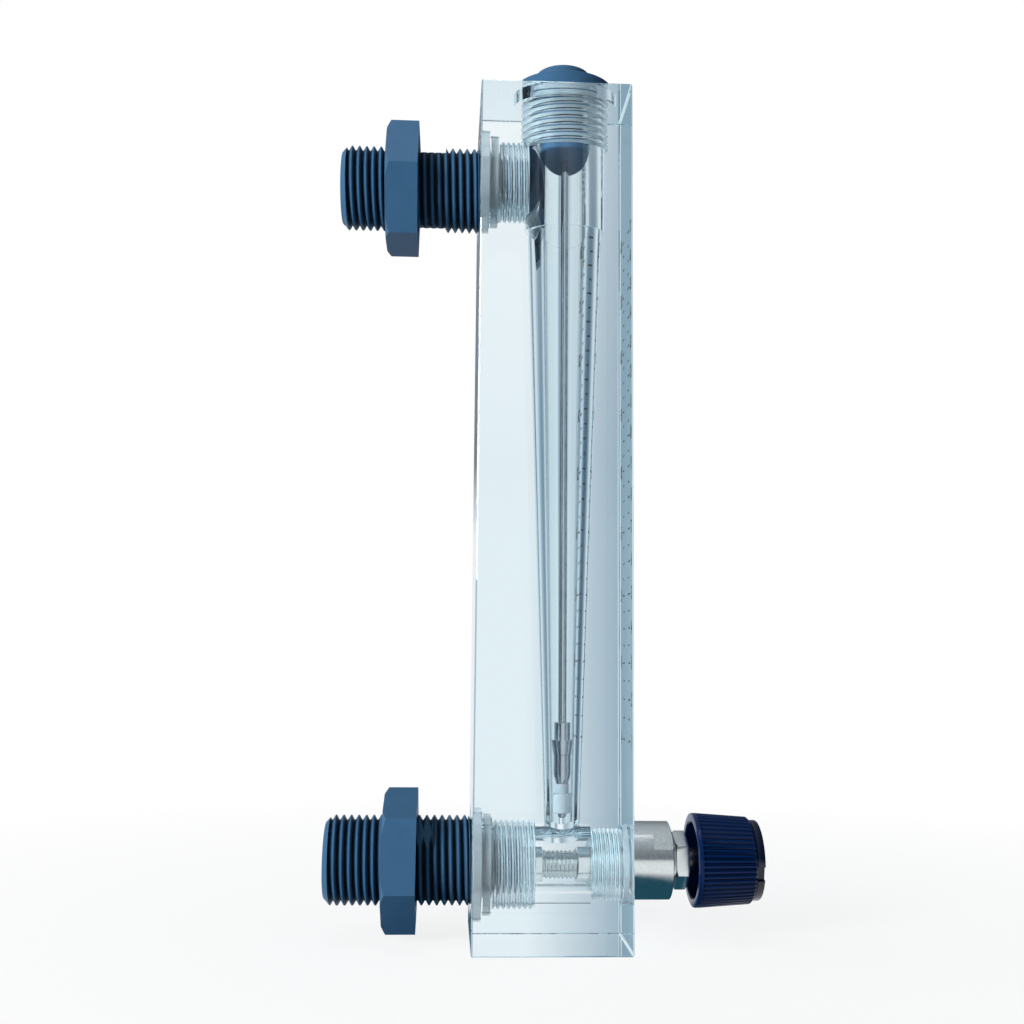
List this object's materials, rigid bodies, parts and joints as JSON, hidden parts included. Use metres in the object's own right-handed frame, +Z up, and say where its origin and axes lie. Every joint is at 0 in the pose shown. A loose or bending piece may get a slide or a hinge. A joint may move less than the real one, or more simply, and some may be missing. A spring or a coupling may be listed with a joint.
{
  "type": "rotameter",
  "caption": "Clear acrylic block rotameter with a tapered tube, a float on a guide rod, threaded pipe connectors with panel nuts at the back and a needle valve at the front.",
  "frame": {"origin": "middle of the block's bottom face", "axes": "+X towards the scale face and the valve knob, +Z up along the metering tube, +Y completes the right-handed frame"},
  "size_m": [0.1042, 0.037, 0.2174],
  "materials": {
    "clear_acrylic": "gloss",
    "slate_plastic": "satin",
    "silicone_rubber": "satin",
    "stainless": "gloss",
    "white_ptfe": "satin",
    "nickel_brass": "gloss",
    "black_plastic": "gloss",
    "gloss_black_plastic": "gloss"
  },
  "bodies": {
    "block": {"acrylic_body": "clear_acrylic", "top_plug": "slate_plastic", "top_plug_seal": "silicone_rubber", "guide_rod": "stainless", "float_stop": "white_ptfe", "upper_connector": "slate_plastic", "upper_face_seal": "silicone_rubber", "upper_port_seal": "silicone_rubber", "lower_connector": "slate_plastic", "lower_face_seal": "silicone_rubber", "lower_port_seal": "silicone_rubber", "valve_body": "nickel_brass", "valve_body_seal": "silicone_rubber", "stem_packing": "white_ptfe", "gland_nut": "nickel_brass"},
    "float": {"float_body": "stainless"},
    "spindle": {"valve_spindle": "nickel_brass"},
    "knob": {"control_knob": "black_plastic", "knob_screw": "stainless", "knob_cap": "gloss_black_plastic"},
    "upper_nut": {"upper_panel_nut": "slate_plastic"},
    "lower_nut": {"lower_panel_nut": "slate_plastic"}
  },
  "joints": [
    {"name": "float_rise", "type": "slide", "parent": "block", "child": "float", "axis": [0, 0, 1], "range_m": [0, 0.141]},
    {"name": "valve_turn", "type": "hinge", "parent": "spindle", "child": "knob", "pos_m": [0.04, 0, 0.0185], "axis": [1, 0, 0], "range_deg": [0, 2520]},
    {"name": "spindle_travel", "type": "slide", "parent": "block", "child": "spindle", "axis": [1, 0, 0], "range_m": [0, 0.007]},
    {"name": "upper_nut_travel", "type": "slide", "parent": "block", "child": "upper_nut", "axis": [1, 0, 0], "range_m": [-0.0112, 0.015]},
    {"name": "lower_nut_travel", "type": "slide", "parent": "block", "child": "lower_nut", "axis": [1, 0, 0], "range_m": [-0.0137, 0.0125]}
  ],
  "couplings": [
    {"joint": "valve_turn", "follows": "spindle_travel", "rad_per_m": 6283.2}
  ]
}
